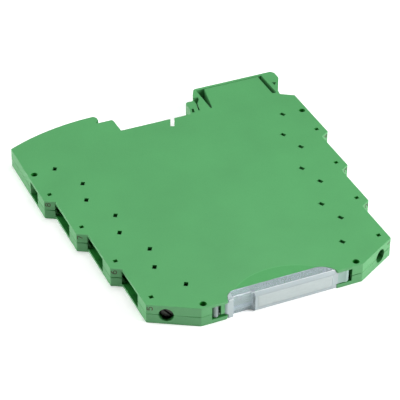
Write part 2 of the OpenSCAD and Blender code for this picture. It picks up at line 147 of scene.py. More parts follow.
def stadium_spiral(inner, pitch, turns, half_length, height, per_turn=48):
    """A flat spiral round two half circles and two straights.

    Its distance from the core is inner plus pitch times the turns made.
    """
    turn = np.linspace(0, turns, int(turns * per_turn) + 1)
    distance = inner + pitch * turn
    quarter = (turn % 1) * 4
    step, part = quarter.astype(int) % 4, quarter % 1
    straight = half_length * (2 * part - 1)
    cosine, sine = np.cos(np.pi * part), np.sin(np.pi * part)
    zero = np.zeros_like(turn)
    normal = np.column_stack([np.choose(step, [zero + 1, cosine, zero - 1, -cosine]),
                              np.choose(step, [zero, sine, zero, -sine]), zero])
    middle = np.choose(step, [straight, zero + half_length, -straight, zero - half_length])
    return normal * distance[:, None] + np.column_stack([zero, middle, zero + height]), normal


def arc(centre, radii, start, end, count=14):
    """Points of an elliptic arc: centre plus radii times the cosine and sine of an angle in degrees."""
    angle = np.radians(np.linspace(start, end, count))
    return np.column_stack([centre[0] + radii[0] * np.cos(angle), centre[1] + radii[1] * np.sin(angle)])


def line(*points):
    """A straight or bent path through points, each stretch cut into 4."""
    pairs = zip(points[:-1], points[1:])
    return np.concatenate([np.linspace(a, b, 5)[(i > 0):] for i, (a, b) in enumerate(pairs)])


# Strokes of plain numerals in a box that is 1 wide and 1 high
NUMERALS = {
    1: [line((0.28, 0.76), (0.58, 1), (0.58, 0))],
    2: [np.concatenate([arc((0.5, 0.72), (0.42, 0.28), 165, -35),
                        line((0.7, 0.47), (0.06, 0.02), (0.95, 0.02))])],
    3: [arc((0.47, 0.75), (0.4, 0.25), 150, -80), arc((0.47, 0.27), (0.45, 0.27), 85, -155)],
    4: [line((0.7, 0), (0.7, 1), (0.05, 0.3), (0.95, 0.3))],
    5: [line((0.88, 0.98), (0.2, 0.98), (0.14, 0.52)), arc((0.48, 0.32), (0.43, 0.32), 135, -150)],
    6: [arc((0.5, 0.3), (0.41, 0.3), 0, 360, 22), arc((0.86, 0.33), (0.77, 0.68), 178, 95)],
    7: [line((0.06, 0.98), (0.92, 0.98), (0.4, 0))],
    8: [arc((0.5, 0.76), (0.34, 0.24), 0, 360, 20), arc((0.5, 0.27), (0.42, 0.27), 0, 360, 22)],
}


def threaded_shank(radius, depth, pitch, low, high, count=28):
    """A screw thread: the radius falls by depth times a triangle wave of height over pitch minus turn."""
    rows = int((high - low) / pitch * 6) + 1
    height = np.linspace(low, high, rows)
    phase = (height[:, None] / pitch - np.arange(count) / count) % 1
    wave = np.clip(2 * np.abs(phase - 0.5) * 1.3 - 0.12, 0, 1)
    runout = np.clip(np.minimum(height - low, high - height) / (0.8 * pitch), 0, 1)[:, None]
    shape = revolved(radius - depth * (1 - wave * runout), height, count)
    tip = revolved([radius - depth - 0.25, radius - depth], [low - 0.12, low - 0.02], count)
    neck = revolved([radius - depth], [high + 0.3], count)
    return np.concatenate([tip, shape, neck])


def slotted_head(radius, thickness, slot_width, slot_depth, chamfer, bottom):
    """A round head of chords: each strip across the slot is a chord of the circle at its own height."""
    turn = np.linspace(-np.pi / 2, np.pi / 2, 26)
    wall = slot_width / 2 / radius
    outer = np.sin(turn[np.abs(np.sin(turn)) > wall * 1.05])
    left, right = outer[outer < 0], outer[outer > 0]
    across = np.concatenate([left, [-wall, -wall], [wall, wall], right])
    deep = np.concatenate([left * 0, [0, 1], [1, 0], right * 0])
    chord = np.sqrt(np.clip(1 - across ** 2, 0, None))
    along = np.linspace(-1, 1, 9)
    inner = radius - chamfer
    shape = (len(across), 9)
    top = np.stack([np.broadcast_to(across[:, None] * inner, shape), chord[:, None] * along * inner,
                    np.broadcast_to((thickness - deep * slot_depth)[:, None], shape)], axis=-1)
    order = np.concatenate([np.arange(len(across)) * 9, np.arange(len(across))[::-1] * 9 + 8])
    rim = top.reshape(-1, 3)[order]
    shoulder = rim * [radius / inner, radius / inner, 1] - [0, 0, chamfer]
    foot = shoulder * [1, 1, 0]
    side = np.stack([rim, shoulder, foot])
    faces = grid_faces(len(across), 9, wrap_columns=False).tolist()
    faces += grid_faces(3, len(rim), first=top.size // 3).tolist()
    start = top.size // 3 + 2 * len(rim)
    faces.append(list(range(start, start + len(rim))))
    points = np.concatenate([top.reshape(-1, 3), side.reshape(-1, 3)])
    return points + [0, 0, bottom], faces


# Meshes and pieces

def smooth(mesh, angle):
    """Shades a mesh smooth apart from edges sharper than an angle in degrees."""
    mesh.shade_smooth()
    mesh.set_sharp_from_angle(angle=math.radians(angle))


def merged(mesh, distance):
    """An editable copy of a mesh with points closer than a distance merged."""
    shape = bmesh.new()
    shape.from_mesh(mesh)
    bmesh.ops.remove_doubles(shape, verts=shape.verts, dist=distance)
    return shape


def joined_mesh(parts, scale=MM, angle=35):
    """One mesh of several parts, with doubled points merged and faces turned outwards."""
    vertices, faces, first = [], [], 0
    for points, part_faces in parts:
        vertices.append(points)
        faces += [[index + first for index in face] for face in part_faces]
        first += len(points)
    mesh = bpy.data.meshes.new("parts")
    mesh.from_pydata((np.concatenate(vertices) * scale).tolist(), [], faces)
    shape = merged(mesh, 2e-7)
    bmesh.ops.dissolve_degenerate(shape, edges=shape.edges, dist=1e-8)
    bmesh.ops.recalc_face_normals(shape, faces=shape.faces)
    shape.to_mesh(mesh)
    shape.free()
    smooth(mesh, angle)
    return mesh


def body_of_node(node):
    """Name of the CAD body that holds a node."""
    bodies = frame["record"]["behaviour"]["bodies"]
    return next(name for name, nodes in bodies.items() if node in nodes)


def new_object(name, data):
    """A new object in the scene for a mesh, a light or a camera."""
    made = bpy.data.objects.new(name, data)
    bpy.context.scene.collection.objects.link(made)
    return made


def add_piece(name, mesh, finish, node, replaces=True):
    """A finished piece on the node's body, with its finish in a slot, in place of the node or beside it."""
    mesh.name = name
    piece = new_object(name, mesh)
    mesh.materials.append(finish)
    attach(piece, body_of_node(node))
    if replaces:
        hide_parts(node)
    return piece


def dress_node(node, finish):
    """Gives a CAD node that is shown as it is its finish."""
    for slot in frame["nodes"][node].material_slots:
        slot.material = finish


def small_loops(edges, limit):
    """For each edge, whether the loop that it is joined to is smaller than a limit."""
    group = {}

    def root(key):
        while group.setdefault(key, key) != key:
            key = group[key]
        return key

    for edge in edges:
        group[root(edge.verts[0].index)] = root(edge.verts[1].index)
    corners = {}
    for edge in edges:
        for vertex in edge.verts:
            corners.setdefault(root(vertex.index), []).append(vertex.co[:])
    size = {key: np.ptp(np.array(points), axis=0).max() for key, points in corners.items()}
    return [size[root(edge.verts[0].index)] < limit for edge in edges]


def mesh_array(items, key, width, kind=float):
    """One property of many mesh items as an array with a row for each."""
    values = np.empty(len(items) * width, kind)
    items.foreach_get(key, values)
    return values.reshape(-1, width)


def rays_from(normals, count):
    """Directions round each normal, spread like a sunflower's seeds.

    The sine of a direction's tilt is the root of its seed's share, and it turns by the golden angle a seed.
    """
    seed = (np.arange(count) + 0.5) / count
    turn = np.arange(count) * np.pi * (3 - np.sqrt(5))
    sine = np.sqrt(seed)
    local = np.column_stack([sine * np.cos(turn), sine * np.sin(turn), np.sqrt(1 - seed)])
    helper = np.where(np.abs(normals[:, 2:]) < 0.7, [0.0, 0.0, 1.0], [1.0, 0.0, 0.0])
    side = np.cross(normals, helper)
    side /= np.linalg.norm(side, axis=1)[:, None]
    return local @ np.stack([side, np.cross(normals, side), normals], axis=1)


def add_painted_shade_share(mesh, walls, reach=8, count=20, lift=0.02):
    """Gives every face the share of its outlook that walls block within reach, which the material turns
    into painted shade.
    """
    mesh.calc_loop_triangles()
    owner = mesh_array(mesh.loop_triangles, "polygon_index", 1, np.int32)[:, 0]
    points = mesh_array(mesh.vertices, "co", 3)
    a, b, c = points[mesh_array(mesh.loop_triangles, "vertices", 3, np.int32)].transpose(1, 0, 2)
    across = np.cross(b - a, c - a)
    size = np.linalg.norm(across, axis=1)
    by_size = np.argsort(size)
    largest = np.zeros(len(mesh.polygons), int)
    largest[owner[by_size]] = by_size
    normals = (across / np.maximum(size, 1e-15)[:, None])[largest]
    starts = ((a + b + c) / 3)[largest] + normals * lift * MM
    blocked = [
        sum(walls.ray_cast(start, direction, reach * MM)[0] is not None for direction in directions) / count
        for start, directions in zip(starts.tolist(), rays_from(normals, count).tolist())]
    mesh.attributes.new("painted_shade_share", "FLOAT", "FACE").data.foreach_set("value", blocked)


def housing_walls():
    """Search tree of the walls of both half shells."""
    vertices, faces = [], []
    for node in ("upper_shell", "lower_shell"):
        mesh = frame["nodes"][node].data
        mesh.calc_loop_triangles()
        faces.append(mesh_array(mesh.loop_triangles, "vertices", 3, np.int32) + sum(map(len, vertices)))
        vertices.append(mesh_array(mesh.vertices, "co", 3))
    return BVHTree.FromPolygons(np.concatenate(vertices).tolist(), np.concatenate(faces).tolist())


def rounded_copy(name, node, finish, width, weight, walls=None):
    """A copy of a CAD node with its flat triangles merged into whole faces and its edges rounded.

    weight says how much of the width each edge gets.
    """
    shape = merged(frame["nodes"][node].data, 2e-6)
    bmesh.ops.dissolve_limit(shape, angle_limit=math.radians(0.4), verts=shape.verts, edges=shape.edges)
    shape.verts.index_update()
    weights = weight(shape)
    vertices = [vertex.co[:] for vertex in shape.verts]
    faces = [[vertex.index for vertex in face.verts] for face in shape.faces]
    edges = {tuple(sorted(v.index for v in edge.verts)): value for edge, value in zip(shape.edges, weights)}
    shape.free()
    mesh = bpy.data.meshes.new(name)
    mesh.from_pydata(vertices, [], faces)
    pairs = mesh_array(mesh.edges, "vertices", 2, np.int32).tolist()
    values = [edges.get(tuple(sorted(pair)), 0.0) for pair in pairs]
    mesh.attributes.new("bevel_weight_edge", "FLOAT", "EDGE").data.foreach_set("value", values)
    smooth(mesh, 30)
    if walls:
        add_painted_shade_share(mesh, walls)
    piece = add_piece(name, mesh, finish, node)
    bevel = piece.modifiers.new("edge rounding", "BEVEL")
    bevel.limit_method = "WEIGHT"
    bevel.width = width * MM
    bevel.segments = 2
    bevel.use_clamp_overlap = bevel.loop_slide = False
    bevel.harden_normals = True


# Corners sharper than this many degrees are rounded
SHARP = 25
# Rims of holes smaller than this keep a crisp edge
SMALL_HOLE = 8
# Upright corners taller than this are rounded, on the stepped sides outside this distance from the middle
UPRIGHT = 2.5
STEPS_FROM = 22


def outer_corners(shape):
    """Whether each edge is an outer corner that is sharp enough to be rounded."""
    least = math.radians(SHARP)
    return np.array([edge.is_convex and edge.calc_face_angle(0.0) > least for edge in shape.edges])


def edge_lengths(shape):
    """Length of every edge, in millimetres."""
    return np.array([edge.calc_length() for edge in shape.edges]) / MM


def shell_weights(shape, full=1.0, rim_share=0.78, hole_share=0.28):
    """Full rounding at the seam, less on the large faces' rims and upright corners, little at holes."""
    corner = outer_corners(shape)
    ends = np.array([[vertex.co[:] for vertex in edge.verts] for edge in shape.edges]) / MM
    span = np.abs(ends[..., 0]).max(axis=1)
    low, high = ends[..., 2].min(axis=1), ends[..., 2].max(axis=1)
    flat = high - low < 0.01
    weights = np.zeros(len(corner))
    weights[flat & (np.abs(low - SEAM) < 0.01) & corner] = full
    for level in (0.0, THICKNESS):
        rim = flat & (np.abs(low - level) < 0.01) & corner
        edges = [edge for edge, hit in zip(shape.edges, rim) if hit]
        weights[rim] = np.where(small_loops(edges, SMALL_HOLE * MM), hole_share, rim_share)
    tall = ~flat & (high - low > UPRIGHT) & (edge_lengths(shape) > UPRIGHT)
    weights[tall & corner & (span > STEPS_FROM)] = rim_share
    return weights


def long_edge_weights(shape, shortest=0.5):
    """Even rounding on every outer corner longer than a shortest length in millimetres."""
    return np.where(outer_corners(shape) & (edge_lengths(shape) > shortest), 1.0, 0.0)


def cover_weights(shape):
    """Even rounding on the cover's outer corners, the short edges of its arcs included."""
    return long_edge_weights(shape, 0.15)


# Finishes

class Finish:
    """A Principled material with procedural colour, roughness and relief on Object coordinates."""

    def __init__(self, name, colour, roughness, **sockets):
        self.material = bpy.data.materials.new(name)
        self.material.use_nodes = True
        self.tree = self.material.node_tree
        self.shader = self.tree.nodes["Principled BSDF"]
        self.shader.inputs["Base Color"].default_value = (*colour, 1)
        self.shader.inputs["Roughness"].default_value = roughness
        for socket, value in sockets.items():
            self.shader.inputs[socket.replace("_", " ")].default_value = value
        self.place = self.tree.nodes.new("ShaderNodeTexCoord").outputs["Object"]
        self.height = None

    def node(self, kind, values=None, **settings):
        """A node with its settings and socket values."""
        node = self.tree.nodes.new(kind)
        for key, value in settings.items():
            setattr(node, key, value)
        for key, value in (values or {}).items():
            if isinstance(value, bpy.types.NodeSocket):
                self.tree.links.new(value, node.inputs[key])
            else:
                node.inputs[key].default_value = value
        return node

    def stretched(self, x, y, z):
        """Object coordinates with each axis scaled on its own."""
        return self.node("ShaderNodeMapping", {"Vector": self.place, "Scale": (x, y, z)}).outputs["Vector"]

    def noise(self, size, detail=2.0, roughness=0.5, place=None):
        """Cloudy noise whose features have a size in millimetres."""
        values = {"Vector": place or self.place, "Scale": 1 / (size * MM), "Detail": detail,
                  "Roughness": roughness}
        return self.node("ShaderNodeTexNoise", values).outputs["Fac"]

    def cells(self, size):
        """Cell pattern whose cells have a size in millimetres."""
        values = {"Vector": self.place, "Scale": 1 / (size * MM)}
        return self.node("ShaderNodeTexVoronoi", values).outputs["Distance"]

    def axis(self, name):
        """One of the Object coordinates, in metres."""
        return self.node("ShaderNodeSeparateXYZ", {"Vector": self.place}).outputs[name]

    def maths(self, operation, *values):
        """One step of arithmetic."""
        return self.node("ShaderNodeMath", dict(enumerate(values)), operation=operation).outputs[0]

    def spread(self, source, low, high, start=0.35, end=0.65):
        """Maps a pattern between start and end to low and high."""
        values = {"Value": source, "From Min": start, "From Max": end, "To Min": low, "To Max": high}
        return self.node("ShaderNodeMapRange", values).outputs["Result"]

    def zone(self, source, outside, inside):
        """0 where a length is outside and 1 where it is inside, both given in millimetres."""
        return self.spread(source, 0, 1, outside * MM, inside * MM)

    def away(self, source, place):
        """How far a length is from a place given in millimetres."""
        return self.maths("ABSOLUTE", self.maths("SUBTRACT", source, place * MM))

    def mottled(self, pattern, colour, dark, light, start=0.3, end=0.7):
        """Drives the base colour between a darker and a lighter tone of one colour."""
        self.colours(pattern, (start, shade(colour, dark)), (end, shade(colour, light)))

    def colours(self, factor, *stops):
        """Drives the base colour from a factor through stops of position and colour."""
        ramp = self.node("ShaderNodeValToRGB", {"Fac": factor})
        while len(ramp.color_ramp.elements) < len(stops):
            ramp.color_ramp.elements.new(0.5)
        for element, (position, colour) in zip(ramp.color_ramp.elements, stops):
            element.position = position
            element.color = (*colour, 1)
        self.tree.links.new(ramp.outputs["Color"], self.shader.inputs["Base Color"])

    def over(self, factor, colour):
        """Lays a colour over the present base colour where the factor is 1."""
        socket = self.shader.inputs["Base Color"]
        mix = self.node("ShaderNodeMix", {"Factor": factor}, data_type="RGBA")
        if socket.is_linked:
            self.tree.links.new(socket.links[0].from_socket, mix.inputs[6])
        else:
            mix.inputs[6].default_value = socket.default_value
        mix.inputs[7].default_value = (*colour, 1)
        self.tree.links.new(mix.outputs[2], socket)

    def drive(self, socket, source):
        """Drives one socket of the shader from a pattern."""
        self.tree.links.new(source, self.shader.inputs[socket])

    def roughness(self, pattern, smooth, rough):
        """Drives the roughness between two values from a pattern."""
        self.drive("Roughness", self.spread(pattern, smooth, rough))

    def relief(self, source, depth, strength=1.0):
        """Adds a pattern to the surface relief. depth is in millimetres."""
        values = {"Height": source, "Distance": depth * MM, "Strength": strength}
        if self.height is not None:
            values["Normal"] = self.height
        self.height = self.node("ShaderNodeBump", values).outputs["Normal"]
        self.tree.links.new(self.height, self.shader.inputs["Normal"])


def shade(colour, *factors):
    """A colour made lighter or darker by one factor, or by a factor for each channel."""
    factors = factors if len(factors) > 1 else factors * 3
    return tuple(min(channel * factor, 1.0) for channel, factor in zip(colour, factors))


def moulded_plastic(name, colour, roughness, grain, painted_scoop=None):
    """Satin moulded plastic: flow clouds, a fine spark-eroded grain, painted shade in bores and windows,
    and painted shade with a painted rim highlight in the finger scoop.
    """
    finish = Finish(name, colour, roughness)
    clouds = finish.noise(16, 3, 0.55)
    finish.colours(clouds, (0.3, shade(colour, 0.955)), (0.5, colour), (0.72, shade(colour, 1.045)))
    # In the finger scoop a darker, more saturated tone is painted shade where the slope reflects less
    # light, and a lighter ring along its rim is a painted highlight
    if painted_scoop:
        (x, y), radius = painted_scoop
        reach = finish.node("ShaderNodeVectorMath", {0: finish.stretched(1, 1, 0), 1: (x * MM, y * MM, 0)},
                            operation="DISTANCE").outputs["Value"]
        finish.over(finish.zone(reach, radius, radius - 0.15), shade(colour, 0.79, 0.97, 0.84))
        finish.over(finish.zone(finish.away(reach, radius), 0.2, 0.05), shade(colour, 1.12))
    # Painted shade: faces that walls hide from much of their outlook get darker, more saturated tones, in
    # bores, entries and windows
    painted_shade_share = finish.node("ShaderNodeAttribute", attribute_name="painted_shade_share").outputs["Fac"]
    painted_shade_share = finish.maths("MULTIPLY", painted_shade_share, finish.zone(finish.axis("Y"), *LAST_TERMINAL))
    finish.over(finish.spread(painted_shade_share, 0, 1, 0.35, 0.7), shade(colour, 0.12, 0.55, 0.2))
    finish.over(finish.spread(painted_shade_share, 0, 1, 0.75, 0.9), shade(colour, 0.15, 0.75, 0.22))
    finish.roughness(finish.noise(0.35, 2), roughness - 0.05, roughness + 0.07)
    finish.relief(finish.noise(0.16, 3, 0.6), grain, 0.35)
    finish.relief(finish.noise(9, 1), 0.05, 0.12)
    return finish.material


def clear_plastic(colour, haze, backed_haze):
    """Milky clear plastic, hazier in the carrier's front layer, on the rim and behind the windows, with a
    painted highlight on the rim and painted shade on the rod and knuckle.
    """
    finish = Finish("frosted clear plastic", colour, 0.15, IOR=1.5)
    along = finish.axis("X")
    carrier, nub, rod, painted_shade_knuckle = (finish.zone(along, *ends) for ends in COVER_ZONES.values())
    depth = finish.maths("ADD", finish.axis("Y"), HALF_DEPTH * MM)
    carrier = finish.maths("MULTIPLY", finish.zone(depth, *FRONT_LAYER), carrier)
    rim_place, rim_width = COVER_RIM
    from_rim = finish.away(finish.away(finish.axis("Z"), SEAM), rim_place)
    rim = finish.maths("LESS_THAN", from_rim, rim_width * MM)
    backed = finish.maths("MAXIMUM", carrier, finish.maths("MAXIMUM", nub, rim))
    finish.drive("Transmission Weight", finish.spread(backed, 1 - haze, 1 - backed_haze, 0, 1))
    clouds = finish.noise(5, 2)
    finish.mottled(clouds, colour, 0.95, 1.03)
    finish.over(backed, shade(colour, 0.7, 0.7, 0.68))
    # Painted highlight along the cover's rounded top and bottom edges, laid over the milkier plastic of the
    # rim
    finish.over(rim, shade(colour, 1.2))
    # Painted shade on the latch rod and the hinge knuckle, which sit recessed in the housing
    finish.over(rod, shade(colour, 0.42, 0.46, 0.42))
    finish.over(painted_shade_knuckle, shade(colour, 0.5, 0.64, 0.54))
    finish.roughness(clouds, 0.1, 0.18)
    finish.relief(finish.noise(3, 1), 0.03, 0.12)
    return finish.material


def label_card(colour):
    """Matt printable film: fibres along the strip and a soft tooth."""
    finish = Finish("bare marking strip", colour, 0.5, Specular_IOR_Level=0.4)
    fibres = finish.noise(0.5, 3, 0.6, finish.stretched(0.25, 1, 1))
    finish.mottled(fibres, colour, 0.94, 1.02)
    finish.roughness(finish.noise(0.2), 0.42, 0.6)
    finish.relief(fibres, 0.006, 0.4)
    return finish.material


def printed_ink(colour):
    """Laser-darkened plastic with a slightly foamed, uneven surface."""
    finish = Finish("laser-marked numeral", colour, 0.62)
    marks = finish.noise(0.12, 3, 0.7)
    finish.mottled(marks, colour, 0.75, 1.5)
    finish.relief(marks, 0.01, 0.5)
    return finish.material


def plated_metal(name, colour, roughness, along=(1, 1, 0.12), scratch=0.25):
    """Plated metal: fine drawn lines, cloudy plating and roughness that follows both."""
    finish = Finish(name, colour, roughness, Metallic=1.0)
    lines = finish.noise(scratch, 4, 0.65, finish.stretched(*along))
    finish.mottled(finish.noise(1.1, 2), colour, 0.82, 1.08)
    finish.roughness(lines, roughness - 0.08, roughness + 0.14)
    finish.relief(lines, 0.004, 0.5)
    return finish.material


def board_laminate(colour, copper_tone=(0.16, 0.46, 0.24)):
    """Green lacquer over copper: lighter tracks from folded waves, weave of the laminate under it."""
    finish = Finish("lacquered board", colour, 0.3, Coat_Weight=0.5, Coat_Roughness=0.15)
    bend = finish.noise(7, 1)

    def folded(axis, swing, spacing):
        """Distance to the nearest of many bent lines across an axis, from a wave that folds back."""
        bent = finish.maths("ADD", finish.axis(axis), finish.maths("MULTIPLY", bend, swing * MM))
        return finish.maths("PINGPONG", bent, spacing * MM)

    tracks = finish.maths("MINIMUM", folded("X", 4, 1.1), folded("Y", 6, 1.7))
    copper = finish.zone(tracks, 0.26, 0.18)
    finish.over(finish.spread(finish.noise(3, 2), 0, 0.5), shade(colour, 0.8))
    finish.over(copper, copper_tone)
    threads = [finish.maths("PINGPONG", finish.axis(axis), 0.3 * MM) for axis in "XY"]
    weave = finish.spread(finish.maths("MULTIPLY", *threads), 0, 1, 0, (0.3 * MM) ** 2)
    finish.relief(weave, 0.006, 0.3)
    finish.relief(copper, 0.03, 0.5)
    return finish.material


def sintered(name, colour, roughness, speckle, grain=0.14):
    """Pressed powder surface: dark and light grains over a dull ground."""
    finish = Finish(name, colour, roughness)
    grains = finish.cells(grain)
    finish.colours(grains, (0.05, shade(colour, 1 - speckle)), (0.45, colour),
                   (0.9, shade(colour, 1 + speckle)))
    finish.roughness(finish.noise(0.4, 3), roughness - 0.08, roughness + 0.1)
    finish.relief(grains, 0.01, 0.5)
    return finish.material


def banded_chip(name, body, middle, half_gap, half_body, metal=(0.72, 0.71, 0.68), blur=0.03):
    """Chip parts in two rows: the body colour in their middle and tinned caps at both ends."""
    finish = Finish(name, body, 0.55)
    from_row = finish.away(finish.away(finish.axis("Y"), middle), half_gap)
    cap = finish.zone(from_row, half_body, half_body + blur)
    finish.mottled(finish.noise(0.25, 3), body, 0.85, 1.12)
    finish.over(cap, metal)
    finish.drive("Metallic", cap)
    finish.roughness(finish.noise(0.2, 2), 0.35, 0.6)
    finish.relief(finish.noise(0.12, 2), 0.008, 0.4)
    return finish.material


def enamelled_wire(colour):
    """Varnished copper: colour drifts from turn to turn, with a clear coat."""
    finish = Finish("enamelled copper wire", colour, 0.3, Metallic=0.85, Coat_Weight=0.6,
                    Coat_Roughness=0.12)
    finish.mottled(finish.noise(0.8, 3), colour, 0.7, 1.15)
    finish.roughness(finish.noise(0.3, 2), 0.22, 0.4)
    finish.relief(finish.noise(0.2, 2), 0.004, 0.4)
    return finish.material


def tinted_lens(colour):
    """Clear cast resin with a faint tint and small flow waves."""
    finish = Finish("tinted light guide", colour, 0.12, IOR=1.52, Transmission_Weight=0.7)
    finish.mottled(finish.noise(0.7, 2), colour, 0.9, 1.05)
    finish.roughness(finish.noise(0.3, 2), 0.08, 0.2)
    finish.relief(finish.noise(0.5, 1), 0.01, 0.2)
    return finish.material


# Settings

def setting(name, description, default, kind=FloatProperty, least=0, **limits):
    """A value that the user may change."""
    return kind(name=name, description=description, default=default, min=least, **limits)


def size_setting(name, description, default):
    """A length in millimetres."""
    return setting(name, description + ", in millimetres", default)


def share_setting(name, description, default):
    """A share from 0 to 1."""
    return setting(name, description, default, max=1, subtype="FACTOR")


def light_setting(name, description, default):
    """The power of a light."""
    return setting(name, description, default, unit="POWER")


def colour_setting(name, description, default):
    """A linear colour."""
    return setting(name, description, default, FloatVectorProperty, max=1, subtype="COLOR")


class HousingSettings(bpy.types.PropertyGroup):
    """Sizes and colours of the two half shells."""
    rounding: size_setting("Edge rounding", "Largest rounding of the moulded edges, at the seam", 0.18)
    grain: size_setting("Moulding grain", "Depth of the moulded surface grain", 0.012)
    roughness: share_setting("Roughness", "Roughness of the moulded plastic", 0.5)
    upper_colour: colour_setting("Upper half", "Colour of the upper half shell", (0.0706, 0.2815, 0.098))
    lower_colour: colour_setting("Lower half", "Colour of the lower half shell", (0.066, 0.263, 0.092))


class CoverSettings(bpy.types.PropertyGroup):
    """Sizes and colours of the clear cover and its marking strip."""
    rounding: size_setting("Edge rounding", "Rounding of the cover's edges", 0.09)
    colour: colour_setting("Cover", "Tint of the clear cover", (0.8, 0.92, 0.97))
    haze: share_setting("Haze", "Milkiness of the clear plastic", 0.25)
    backed_haze: share_setting("Front haze", "Milkiness of the label carrier's front layer", 0.6)
    strip_colour: colour_setting("Marking strip", "Colour of the bare marking strip", (0.4, 0.455, 0.45))
    strip_radius: size_setting("Strip corners", "Corner radius of the marking strip", 0.25)


class NumeralSettings(bpy.types.PropertyGroup):
    """Sizes and colour of the terminal numerals."""
    height: size_setting("Height", "Height of a numeral along the screw face", 1.5)
    width: size_setting("Width", "Width of a numeral through the thickness", 1.3)
    stroke: size_setting("Stroke", "Width of a stroke", 0.28)
    colour: colour_setting("Ink", "Colour of the laser marks", (0.035, 0.04, 0.018))


class ClampSettings(bpy.types.PropertyGroup):
    """Sizes and colours of the wire clamps."""
    pitch: size_setting("Thread pitch", "Pitch of the clamp screws", 0.5)
    thread_depth: size_setting("Thread depth", "Depth of the thread", 0.28)
    slot_width: size_setting("Slot width", "Width of the driver slot", 0.6)
    rounding: size_setting("Cage rounding", "Rounding of the cages' stamped edges", 0.14)
    # The screws are zinc-plated, but their colour is far darker than the plating: painted shade of the deep
    # bores they sit in
    screw_colour: colour_setting("Screws", "Colour of the zinc-plated screws", (0.05, 0.052, 0.047))
    cage_colour: colour_setting("Cages", "Colour of the nickel-plated cages", (0.6, 0.58, 0.52))
    bar_colour: colour_setting("Contact bars", "Colour of the tinned bars", (0.68, 0.66, 0.6))


class BoardSettings(bpy.types.PropertyGroup):
    """Sizes and colours of the circuit board and its components."""
    wire: size_setting("Winding wire", "Diameter of the transformer's wire", 0.3)
    turns: setting("Turns", "Turns in one layer of the winding", 7.25, least=1, max=8)
    layers: setting("Layers", "Layers of the winding", 5, IntProperty, 1, max=5)
    rounding: size_setting("Package rounding", "Rounding of the moulded packages", 0.08)
    board_colour: colour_setting("Board", "Colour of the lacquered board", (0.02, 0.14, 0.06))
    copper_colour: colour_setting("Wire", "Colour of the enamelled wire", (0.62, 0.25, 0.09))


class StageSettings(bpy.types.PropertyGroup):
    """Light of the plain studio."""
    sky: setting("Sky", "Strength of the even light from all sides", 0)
    key: light_setting("Right softbox", "Power of the softbox on the right", 8.1)
    fill: light_setting("Left softbox", "Power of the softbox on the left", 5.95)
    top: light_setting("Top softbox", "Power of the softbox above", 4.05)
    glow: setting("Floor glow", "Light that the backdrop gives off itself", 0.15)
    floor_colour: colour_setting("Floor", "Colour of the plain floor", (0.97, 0.97, 0.97))


# Terminals

def clamp_axes(number):
    """Wire centre, wire direction and screw direction of a terminal, from the record's joints."""
    turn = JOINTS[f"clamp_screw_turn_{number}"]
    screw = -np.array(turn["axis"], float)
    wire = np.array([-screw[1] * np.sign(screw[0]), abs(screw[0]), 0.0])
    return np.array(turn["pos_m"], float), wire, screw


def in_clamp(points, number):
    """Carries points given along the wire, up and along the screw, in millimetres, into the frame."""
    centre, wire, screw = clamp_axes(number)
    return centre + points @ np.stack([wire, [0, 0, 1], screw]) * MM


# Operators

class BuildHousing(bpy.types.Operator):
    """Round the edges of both half shells and give them moulded plastic"""
    bl_idname = "rail_module.housing"
    bl_label = "Housing"

    def execute(self, context):
        settings = context.scene.rail_module_housing
        walls = housing_walls()
        halves = {"upper": (settings.upper_colour, SCOOP), "lower": (settings.lower_colour, None)}
        for half, (colour, scoop) in halves.items():
            plastic = moulded_plastic(f"green plastic, {half} half", colour, settings.roughness,
                                      settings.grain, scoop)
            rounded_copy(f"housing_{half}_half", f"{half}_shell", plastic, settings.rounding,
                         shell_weights, walls)
        return {"FINISHED"}


class BuildCover(bpy.types.Operator):
    """Round the edges of the hinged cover and lay the bare marking strip in its front"""
    bl_idname = "rail_module.cover"
    bl_label = "Cover"

    def execute(self, context):
        settings = context.scene.rail_module_cover
        plastic = clear_plastic(settings.colour, settings.haze, settings.backed_haze)
        rounded_copy("hinged_clear_cover", "front_cover", plastic, settings.rounding, cover_weights)
        low, high = (np.array(corner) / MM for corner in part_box("marking_label"))
        half_length, depth, half_height = (high - low) / [2, 1, 2]
        rings = [(0.05, 0), (0, 0.04), (0, depth - 0.07), (0.02, depth - 0.04), (0.08, depth - 0.02),
                 (0.9, depth)]
        plate = rounded_plate(half_length, half_height, settings.strip_radius, rings)
        middle = (low + high) / 2
        points = plate[..., [0, 2, 1]] * [-1, -1, 1] + [middle[0], high[1], middle[2]]
        add_piece("bare_marking_strip", joined_mesh([tube_part(points)]),
                  label_card(settings.strip_colour), "marking_label")
        return {"FINISHED"}


class BuildNumerals(bpy.types.Operator):
    """Mark the terminals with plain numerals 1 to 8"""
    bl_idname = "rail_module.numerals"
    bl_label = "Terminal numerals"
    proud = 0.02
    sunk = 0.05
    corner_gap = 0.3
    height_in_wall = 4.95

    def execute(self, context):
        settings = context.scene.rail_module_numerals
        ink = printed_ink(settings.colour)
        middle = SCREW_INSET - self.corner_gap - settings.height / 2
        for number in TERMINALS:
            left = clamp_axes(number)[2][0] < 0
            parts = []
            for stroke in NUMERALS[number]:
                up = (stroke[:, 1] - 0.5) * settings.height * (1 if left else -1)
                right = (stroke[:, 0] - 0.5) * settings.width
                path = np.column_stack([middle + up, self.height_in_wall - SEAM + right])
                ribbon = swept_ribbon(path, settings.stroke, FACE_HEIGHT - self.sunk,
                                      FACE_HEIGHT + self.proud)
                parts.append(tube_part(in_clamp(ribbon, number)))
            add_piece(f"numeral_{number}", joined_mesh(parts, scale=1), ink, "upper_shell", replaces=False)
        return {"FINISHED"}


